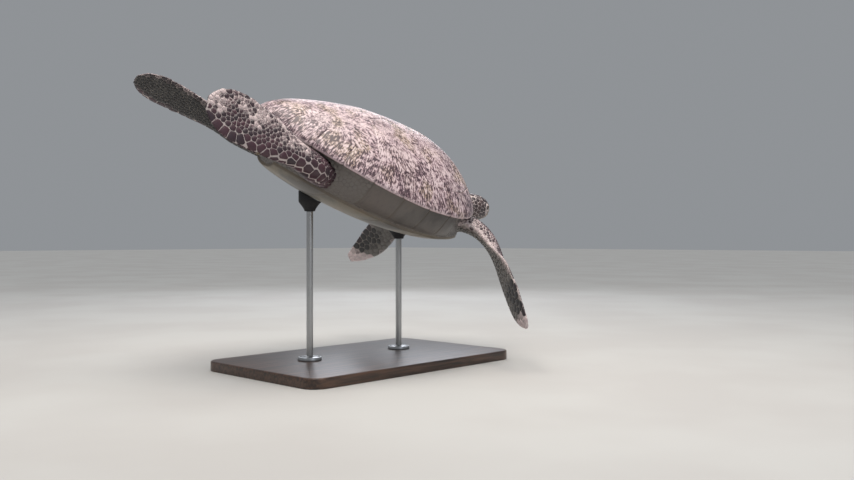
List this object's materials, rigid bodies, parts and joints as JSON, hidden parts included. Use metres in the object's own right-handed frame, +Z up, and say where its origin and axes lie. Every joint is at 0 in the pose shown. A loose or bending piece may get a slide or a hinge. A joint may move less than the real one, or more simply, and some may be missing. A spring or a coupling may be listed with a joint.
{
  "type": "green sea turtle",
  "caption": "Life-size still model of a swimming green sea turtle, nose down and banked to its right, on a flat base with two upright rods.",
  "frame": {"origin": "centre of the stand base's underside, which rests on the floor", "axes": "+Z up; the turtle heads along -Y, pitched nose down about 12 degrees and banked about 19 degrees with its right side, towards -X, down"},
  "size_m": [1.1161, 1.3076, 0.8599],
  "materials": {
    "carapace": "brown horn with dense dark purple-brown rays on a pinkish tan ground, satin",
    "marginals": "pale pinkish tan horn with brown marks and a light edge, satin",
    "plastron": "pale cream yellow horn, satin",
    "skin": "dark purple-brown polygonal scales with pale borders above, pale grey cream below",
    "beak": "horn-coloured beak and claws, satin",
    "eye": "dark brown glass eye, polished",
    "stand_wood": "dark stained wood, satin varnish",
    "stand_steel": "brushed stainless steel",
    "stand_pad": "black rubber pads"
  },
  "bodies": {
    "root": {"abdominal_left": "plastron", "abdominal_right": "plastron", "anal_left": "plastron", "anal_right": "plastron", "beak_lower": "beak", "beak_upper": "beak", "costal_left_1": "carapace", "costal_left_2": "carapace", "costal_left_3": "carapace", "costal_left_4": "carapace", "costal_right_1": "carapace", "costal_right_2": "carapace", "costal_right_3": "carapace", "costal_right_4": "carapace", "eye_left": "eye", "eye_right": "eye", "femoral_left": "plastron", "femoral_right": "plastron", "front_arm_left": "skin", "front_arm_right": "skin", "front_claw_left": "beak", "front_claw_right": "beak", "front_flipper_left": "skin", "front_flipper_right": "skin", "gular_left": "plastron", "gular_right": "plastron", "head": "skin", "humeral_left": "plastron", "humeral_right": "plastron", "lower_jaw": "skin", "marginals_left": "marginals", "marginals_right": "marginals", "neck": "skin", "nuchal": "marginals", "pectoral_left": "plastron", "pectoral_right": "plastron", "rear_claw_left": "beak", "rear_claw_right": "beak", "rear_flipper_left": "skin", "rear_flipper_right": "skin", "rear_leg_left": "skin", "rear_leg_right": "skin", "stand_base": "stand_wood", "stand_flange_front": "stand_steel", "stand_flange_rear": "stand_steel", "stand_pad_front": "stand_pad", "stand_pad_rear": "stand_pad", "stand_rod_front": "stand_steel", "stand_rod_rear": "stand_steel", "tail": "skin", "trunk": "skin", "vertebral_1": "carapace", "vertebral_2": "carapace", "vertebral_3": "carapace", "vertebral_4": "carapace", "vertebral_5": "carapace"}
  },
  "joints": []
}
